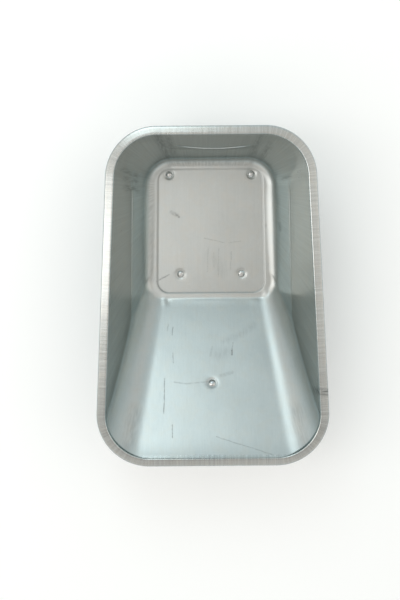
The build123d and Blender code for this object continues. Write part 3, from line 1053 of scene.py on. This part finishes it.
def make_bolt(name, seat, up):
    """A carriage bolt whose head's underside is at seat, with its head towards up."""
    angle, rings = bolt_rings()
    out = np.column_stack([np.cos(angle), np.sin(angle), np.zeros(BOLT_SIDES)])
    across = np.array([1.0, 0, 0])
    frame_axes = np.stack([across, np.cross(up, across), up])
    points = [np.array([0, 0, rings[0][1]])[None]]
    for radius, level in rings:
        points.append(out * radius[:, None] + np.array([0, 0, level]))
    points.append(np.array([0, 0, -BOLT_LENGTH])[None])
    points = (np.concatenate(points) @ frame_axes + seat) * MM
    faces = []
    end = len(points) - 1
    last = 1 + (len(rings) - 1) * BOLT_SIDES
    for k in range(BOLT_SIDES):
        after = (k + 1) % BOLT_SIDES
        faces.append((0, 1 + k, 1 + after))
        faces.append((end, last + after, last + k))
        for r in range(len(rings) - 1):
            top, below = 1 + r * BOLT_SIDES, 1 + (r + 1) * BOLT_SIDES
            faces.append((top + k, below + k, below + after, top + after))
    mesh = bpy.data.meshes.new(name)
    mesh.from_pydata([tuple(p) for p in points], [], faces)
    mesh.polygons.foreach_set("use_smooth", [True] * len(faces))
    mesh.set_sharp_from_angle(angle=BOLT_SHARP_ANGLE)
    bolt = bpy.data.objects.new(name, mesh)
    bpy.context.scene.collection.objects.link(bolt)
    return bolt


def make_bolts(finish):
    floor_seat = SHOULDER_LEVEL - PANEL_RECESS - DIMPLE_DEPTH
    normal = np.array([0, sin(NOSE_SLOPE), cos(NOSE_SLOPE)])
    rise = (NOSE_FOOT - NOSE_BOLT_Y) * sin(NOSE_SLOPE) / cos(NOSE_SLOPE)
    nose_seat = np.array([0, NOSE_BOLT_Y, SHOULDER_LEVEL + rise]) - DIMPLE_DEPTH * normal
    seats = {"nose": (nose_seat, normal)}
    for end, (spacing, y) in (("rear", REAR_BOLTS), ("front", FRONT_BOLTS)):
        for side, x in (("left", -spacing), ("right", spacing)):
            seats[f"{end}_{side}"] = (np.array([x, y, floor_seat]), np.array([0, 0, 1.0]))
    for place, (seat, up) in seats.items():
        bolt = make_bolt(f"carriage_bolt_{place}", seat, up)
        bolt.data.materials.append(finish)
        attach(bolt, "root")
        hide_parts(f"bolt_{place}")


def dress(kind, material):
    """Gives one finish to all CAD nodes of a kind."""
    for name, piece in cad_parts.items():
        if name.startswith(kind):
            for slot in piece.material_slots:
                slot.material = material


tray = make_tray()
tray.data.materials.append(zinc_sheet())
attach(tray, "root")
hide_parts("tray_shell")

make_bolts(plated("zinc_bolt", (0.50, 0.51, 0.52), 0.24, 0.5))
dress("washer", plated("zinc_washer", (0.45, 0.455, 0.46), 0.28, 0.5))
dress("spring_washer", plated("spring_steel", (0.24, 0.24, 0.245), 0.38, 0.7))
dress("nut", plated("zinc_nut", (0.48, 0.485, 0.49), 0.26, 0.5))
dress("rim_wire", plated("steel_wire", (0.22, 0.215, 0.21), 0.42, 0.8))


# ---------------------------------------------------------------- scene
def add_area(name, place, target, size, power, colour=(1, 1, 1)):
    light = bpy.data.lights.new(name, "AREA")
    light.shape = "RECTANGLE"
    light.size, light.size_y = size
    light.energy = power
    light.color = colour
    lamp = bpy.data.objects.new(name, light)
    lamp.location = place
    lamp.rotation_euler = (Vector(target) - Vector(place)).to_track_quat("-Z", "Y").to_euler()
    bpy.context.scene.collection.objects.link(lamp)


def make_floor():
    mesh = bpy.data.meshes.new("floor")
    reach, level = 6.0, CAD_LOW.z
    corners = [(x * reach, y * reach, level) for x, y in ((-1, -1), (1, -1), (1, 1), (-1, 1))]
    mesh.from_pydata(corners, [], [(0, 1, 2, 3)])
    floor = bpy.data.objects.new("floor", mesh)
    bpy.context.scene.collection.objects.link(floor)
    material, shader = new_material("pale_floor")
    shader.inputs["Base Color"].default_value = (0.97, 0.955, 0.955, 1)
    shader.inputs["Roughness"].default_value = 0.9
    mesh.materials.append(material)


def make_world():
    """A pale room, warm overhead: cool low down and through the window behind, darker on the right."""
    world = bpy.data.worlds.new("studio")
    bpy.context.scene.world = world
    world.use_nodes = True
    graph = Graph(world)
    background = graph.nodes["Background"]
    direction = graph.add("ShaderNodeTexCoord").outputs["Generated"]
    split = graph.add("ShaderNodeSeparateXYZ")
    graph.feed(split.inputs[0], direction)
    x, y, z = (split.outputs[axis] for axis in "XYZ")

    raised = graph.ramp(z, 0.38, 0.62)
    middle = graph.ramp(graph.math("ABSOLUTE", x), 0.55, 0.3)
    behind = graph.math("MULTIPLY", graph.ramp(y, 0.35, 0.6), middle)
    warm = graph.math("MULTIPLY", raised, graph.math("SUBTRACT", 1.0, behind))
    tint = graph.mix(warm, (0.86, 1.0, 1.03, 1), (1.0, 0.975, 0.925, 1))
    graph.feed(background.inputs["Color"], tint)

    sides = graph.math("ADD", graph.ramp(x, -0.1, -0.8, 0.0, 0.85), graph.ramp(x, 0.1, 0.8, 0.0, 0.55))
    sides = graph.math("MULTIPLY", sides, graph.ramp(z, 0.28, 0.75))
    sides = graph.math("MULTIPLY", sides, graph.ramp(y, 0.45, 0.1, 0.2, 1.0))
    strength = graph.math("ADD", sides, graph.ramp(z, 0.1, 0.5, 0.75, 0.9))
    past_middle = graph.ramp(y, -0.34, 0.0, 0.62, 1.0)
    front = graph.math("MAXIMUM", past_middle, graph.ramp(y, -0.34, -0.62, 0.62, 1.05))
    graph.feed(background.inputs["Strength"], graph.math("MULTIPLY", strength, front))


def make_camera():
    camera = bpy.data.cameras.new("camera")
    camera.sensor_width = 36.0
    camera.lens = 45.84
    camera.shift_x = -0.005
    camera.shift_y = -0.005
    eye = bpy.data.objects.new("camera", camera)
    right, back, above_rim = -22.0, 43.3, 2000.0
    eye.location = (right * MM, back * MM, (RIM_LEVEL + above_rim) * MM)
    pitch, roll = -6.0, -0.5
    eye.rotation_euler = (radians(pitch), 0, radians(roll))
    bpy.context.scene.collection.objects.link(eye)
    bpy.context.scene.camera = eye


make_floor()
make_world()
add_area("overhead_left", (-1.5, -0.1, 2.5), (-0.1, -0.15, 0.1), (0.8, 3.0), 10.0)
add_area("rear_window", (-0.58, 1.6, 2.25), (0, -0.3, 0.1), (0.95, 1.35), 8.0, (0.86, 1.0, 1.03))
make_camera()
bpy.context.scene.view_settings.view_transform = "Standard"
